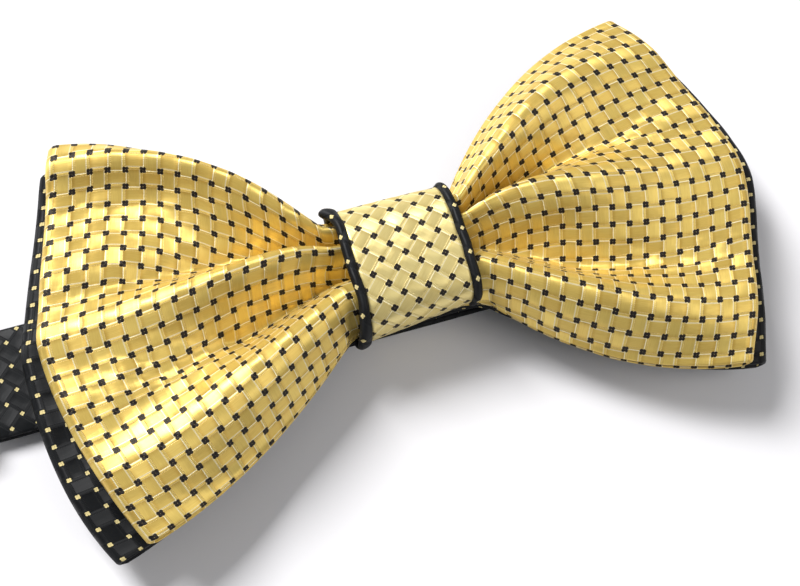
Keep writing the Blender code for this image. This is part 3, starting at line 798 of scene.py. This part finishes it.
# ---- the knot ----------------------------------------------------------------------------------
def knot_loop(x, inset):
    """Points (y, z) round the knot at x, anticlockwise, evenly spaced.

    A rounded block: full at the front, drawn in at the back, and drawn in more at its lower
    right than at its lower left.
    """
    bottom, top = KNOT_LOW[2] + inset, KNOT_HIGH[2] - inset
    turn = np.linspace(0, math.tau, 721)
    sine, cosine = np.sin(turn), np.cos(turn)
    square = 2 / 2.7
    z = (top + bottom) / 2 + (top - bottom) / 2 * np.sign(sine) * np.abs(sine) ** square
    drawn_in = 2.4 * np.clip((10.5 - z) / 8.5, 0, 1) ** 1.5
    skewed = np.where(cosine < 0, KNOT_SKEW * x + 0.25, 0.0) * np.clip((16 - z) / 8, 0, 1)
    reach = KNOT_HALF - inset - drawn_in - skewed
    y = reach * np.sign(cosine) * np.abs(cosine) ** square
    steps = np.hypot(np.diff(y), np.diff(z))
    run = np.concatenate([[0.0], np.cumsum(steps)])
    even = np.linspace(0, run[-1], KNOT_POINTS + 1)[:-1]
    return np.stack([np.interp(even, run, y), np.interp(even, run, z)], axis=1)


def path_lengths(points, closed):
    """Running length along points, with the closing step as one value more."""
    ends = np.concatenate([points, points[:1]]) if closed else points
    steps = np.linalg.norm(np.diff(ends, axis=0), axis=1)
    return np.concatenate([[0.0], np.cumsum(steps)])


def outward(loop):
    """Unit normals (y, z) of a closed loop."""
    along = np.roll(loop, -1, axis=0) - np.roll(loop, 1, axis=0)
    return unit(np.stack([along[:, 1], -along[:, 0]], axis=1))


def add_knot_band(material):
    """Gold band, with faint creases where it is drawn tight."""
    half_x = KNOT_HIGH[0] + BAND_OVERLAP
    profile = [(x, 0.0) for x in np.linspace(-1, 1, 33)]
    profile += [(x, BAND_THICK) for x in np.linspace(1, -1, 9)]
    rings = []
    for x, inset in profile:
        loop = knot_loop(x * half_x, BAND_INSET + inset)
        normals = outward(loop)
        ring = []
        for (y, z), (out_y, out_z) in zip(loop, normals):
            crease = 0.20 * noise.noise(Vector((x * 2.4 + y * 0.20, y * 0.45, z * 0.45)))
            crease += 0.08 * noise.noise(Vector((x * 6.0, y * 0.9, z * 0.9)))
            lift = crease * (1 - x * x) if inset == 0 else 0.0
            ring.append((x * half_x, y + out_y * lift, z + out_z * lift))
        rings.append(ring)
    lengths = path_lengths(np.array([(x * half_x, inset) for x, inset in profile]), True)
    turns = path_lengths(knot_loop(0.0, BAND_INSET), True)
    band = ring_mesh("knot_band_cloth", np.array(rings), lengths, turns, material, closed=True)
    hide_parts("knot_band")
    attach(band, "knot")


def bead_bulge(side, y, z):
    """Extra size of the rolled edge, and how far it spreads outward, at a place round it.

    The left edge is bunched at its upper front corner and flares out along its lower side.
    """
    if side > 0:
        return 0.0, 0.0
    bunched = math.exp(-((y - 9.8) / 1.5) ** 2 - ((z - 13.5) / 2.2) ** 2)
    flared = math.exp(-((y + 9.6) / 1.6) ** 2 - ((z - 9.0) / 4.0) ** 2)
    return 0.45 * bunched + 0.5 * flared, 1.0 * bunched + 1.1 * flared


def add_underband(material):
    """Black band whose edges are rolled forward as a cord on each side of the gold band."""
    bead_x = BEAD_REACH - BEAD_RADIUS - 0.01
    bead = [(bead_x + BEAD_RADIUS * math.cos(a), BEAD_RISE + BEAD_RADIUS * math.sin(a))
            for a in np.radians(np.linspace(-60, 180, 17))]
    outer = bead + [(-x, height) for x, height in bead[::-1]]
    inner = [(x, UNDERBAND_FACE) for x in np.linspace(-bead_x + 0.3, bead_x - 0.3, 7)]
    section = outer + inner
    rings = []
    for number, (x, height) in enumerate(section):
        side = 1 if x > 0 else -1
        on_bead = number < len(outer)
        loop = knot_loop(x, UNDERBAND_INSET)
        normals = outward(loop)
        ring = []
        for (y, z), (out_y, out_z) in zip(loop, normals):
            lift, shift = height, 0.0
            if on_bead:
                shift = 0.25 * noise.noise(Vector((side * 9.0, y * 0.25, z * 0.25)))
                grow = 1 + 0.22 * noise.noise(Vector((side * 5.0 + 2.0, y * 0.6, z * 0.6)))
                bulge, spread = bead_bulge(side, y, z)
                # Only the outer part swells, so that nothing comes up through the gold band.
                outer_share = max(0.0, abs(x) - bead_x + 0.6)
                lift = BEAD_RISE + (height - BEAD_RISE) * grow + bulge * min(1.0, outer_share)
                shift += side * spread * outer_share
            ring.append((x + shift, y + out_y * lift, z + out_z * lift))
        rings.append(ring)
    lengths = path_lengths(np.array(section), True)
    turns = path_lengths(knot_loop(0.0, UNDERBAND_INSET), True)
    band = ring_mesh("knot_underband_cloth", np.array(rings), lengths, turns, material,
                     closed=True, flip=True)
    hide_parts("knot_underband")
    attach(band, "knot")


# ---- the neckband ------------------------------------------------------------------------------
def strap_piece(name, path, material):
    """A run of the neckband along a path of (x, z): a flat sewn tube with soft edges."""
    path = np.array(path, float)
    lengths = path_lengths(path, False)
    across = np.linspace(-1, 1, STRAP_COLUMNS)
    half = STRAP_WIDTH / 2 - STRAP_THICK * 0.28
    middle = np.zeros((len(path), STRAP_COLUMNS, 3))
    middle[..., 0] = path[:, :1]
    middle[..., 1] = across * half
    middle[..., 2] = path[:, 1:]
    thick = STRAP_THICK * (0.80 + 0.14 * (1 - across ** 4))
    thick = np.repeat(thick[None, :], len(path), axis=0)
    for i in range(len(path)):
        for j in range(STRAP_COLUMNS):
            ripple = noise.noise(Vector((lengths[i] * 0.11, across[j] * 1.3, path[i, 1])))
            thick[i, j] += 0.09 * ripple
    rings = strip_rings(middle, thick)
    turns = ring_turns(across * half, STRAP_THICK * 0.8)
    return ring_mesh(name, rings, lengths, turns, material, flip=True), lengths[-1]


def refine(points):
    """The path with points about a step apart, its corners rounded off."""
    points = np.array(points, float)
    dense = []
    for a, b in zip(points[:-1], points[1:]):
        count = max(1, int(np.linalg.norm(b - a) / PATH_STEP))
        dense += [a + (b - a) * k / count for k in range(count)]
    dense.append(points[-1])
    dense = np.array(dense)
    for _ in range(5):
        dense[1:-1] = dense[1:-1] * 0.5 + (dense[:-2] + dense[2:]) * 0.25
    return dense


def arc(x, z, radius, start, sweep):
    """Points (x, z) round a centre, from a start angle through a sweep, in degrees."""
    angles = [math.radians(start + sweep * i / ARC_STEPS) for i in range(ARC_STEPS + 1)]
    return [(x + radius * math.cos(a), z + radius * math.sin(a)) for a in angles]


def neckband_runs():
    """Name, path, body and CAD node of each run of the neckband, from the bow to its tail."""
    lower_z = STRAP_THICK / 2
    right_x, _, right_z = joint_mm("right_fold")
    left_x, _, left_z = joint_mm("left_fold")
    eye_x, _, eye_z = joint_mm("eye_swing")
    hook_x, _, hook_z = joint_mm("hook_swing")
    upper_z = 2 * right_z - lower_z
    hook_run_z = 2 * left_z - lower_z
    tail_z = 2 * hook_z - hook_run_z
    knot_z = KNOT_LOW[2] + KNOT_FLOOR
    hem_x = box_mm("neckband_knot_run")[0][0] + EYE_HEM
    slider_low, slider_high = box_mm("slider_frame")
    bar_x = (slider_low[0] + slider_high[0]) / 2
    bar_z = slider_low[2] + BAR_RISE
    tail_start = (hook_x - TAIL_GAP, tail_z)

    eye_turn = arc(eye_x, eye_z, eye_z - upper_z, 90, 180)
    hook_turn = arc(hook_x, hook_z, hook_run_z - hook_z, 90, -180)
    bar_turn = arc(bar_x, bar_z, bar_z - tail_z, 270, -180)
    behind_knot = [(-RUN_LEVEL_X, upper_z), (-KNOT_LEVEL_X, knot_z),
                   (KNOT_LEVEL_X, knot_z), (RUN_LEVEL_X, upper_z)]
    knot_path = [(hem_x, 2 * eye_z - upper_z)] + eye_turn + behind_knot + [(right_x, upper_z)]
    lower_path = [(left_x, lower_z), (right_x, lower_z)]
    hook_path = [(left_x, hook_run_z), (hook_x, hook_run_z)] + hook_turn + [tail_start]
    tail_path = [tail_start] + bar_turn + [(bar_x + TAIL_HEM, 2 * bar_z - tail_z)]
    return (("neckband_knot_cloth", refine(knot_path), "knot", "neckband_knot_run"),
            ("neckband_lower_cloth", refine(lower_path), "lower_run", "neckband_lower_run"),
            ("neckband_hook_cloth", refine(hook_path), "hook_run", "neckband_hook_run"),
            ("neckband_tail_cloth", refine(tail_path), "slider", "neckband_tail"))


def add_turns(black):
    """The half turn of cloth at each fold. Returns the turns' names and their whole length."""
    names, turned = [], 0.0
    for side, start, body, other in (("right", 90, "knot", "lower_run"),
                                     ("left", -90, "lower_run", "hook_run")):
        name = f"neckband_{side}_turn"
        x, _, z = joint_mm(f"{side}_fold")
        path = arc(x, z, z - STRAP_THICK / 2, start, -180)
        piece, length = strap_piece(name, path, black)
        names.append(name)
        turned += length
        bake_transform(piece)
    return names, turned


def build_neckband(black):
    turn_names, turned = add_turns(black)
    for name, path, body, node in neckband_runs():
        piece, length = strap_piece(name, path, black)
        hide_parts(node)
        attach(piece, body)


# ---- small parts carried over from the frame ---------------------------------------------------
def dress_cad_nodes(materials):
    """Materials and smooth shading for the nodes that are shown as the CAD made them."""
    for node, material in materials.items():
        mesh = frame["nodes"][node].data
        mesh.materials.clear()
        mesh.materials.append(material)
        mesh.shade_smooth()
        mesh.set_sharp_from_angle(angle=math.radians(35))


def main():
    add_camera()
    add_stage()
    gold = gold_weave("gold_weave", bias=False, lit_copy=False)
    # The knot band's gold is the lit copy of the weave: painted light.
    gold_bias = gold_weave("gold_bias_weave", bias=True, lit_copy=True)
    black = black_weave("black_weave", bias=False)
    black_bias = black_weave("black_bias_weave", bias=True)
    lining = interlining_material()
    thread = thread_material()
    nickel = nickel_material()
    build_bows(gold, black, lining)
    add_knot_band(gold_bias)
    add_underband(black_bias)
    build_neckband(black_bias)
    dress_cad_nodes({
        "knot_interlining": lining, "neckband_interfacing_knot": lining,
        "neckband_interfacing_lower": lining, "neckband_interfacing_hook": lining,
        "lashing_thread": thread, "knot_closing_stitches": thread, "eye_bartack": thread,
        "eye_plate": nickel, "hook_plate": nickel, "slider_frame": nickel,
    })


main()
